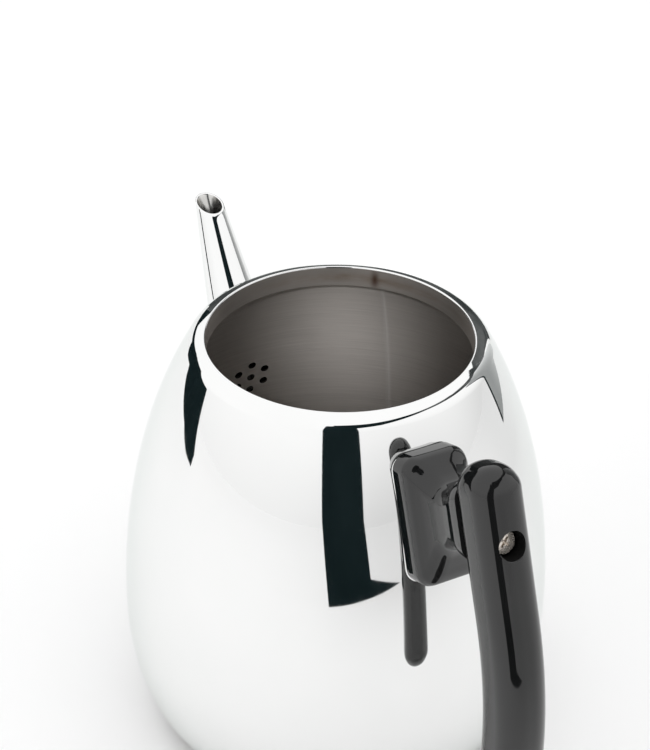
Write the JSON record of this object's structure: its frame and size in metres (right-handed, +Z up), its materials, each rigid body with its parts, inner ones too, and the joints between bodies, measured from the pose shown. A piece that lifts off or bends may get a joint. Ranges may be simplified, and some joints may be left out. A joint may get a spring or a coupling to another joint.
{
  "type": "spouted kettle",
  "caption": "Open stainless steel kettle with a barrel body, tapered trunk spout, strainer holes behind the spout, and a black plastic handle held by one screw.",
  "frame": {"origin": "centre of the flat face that the kettle stands on", "axes": "+X towards the spout, -X towards the handle, +Z up through the mouth"},
  "size_m": [0.2285, 0.1458, 0.1579],
  "materials": {
    "polished_steel": "mirror polished stainless steel outside, satin inside",
    "satin_steel": "satin stainless steel",
    "aluminium_core": "plain, enclosed",
    "black_plastic": "glossy moulded black phenolic plastic",
    "plated_screw": "bright plated steel"
  },
  "bodies": {
    "root": {"body_shell": "polished_steel", "mouth_ring": "polished_steel", "floor_plate": "satin_steel", "heat_spreader": "aluminium_core", "base_cap": "satin_steel", "spout": "polished_steel", "bracket_plate": "polished_steel", "bracket_boss": "satin_steel", "handle_block": "black_plastic", "handle_grip": "black_plastic", "handle_screw": "plated_screw", "spring_washer": "plated_screw"}
  },
  "joints": []
}
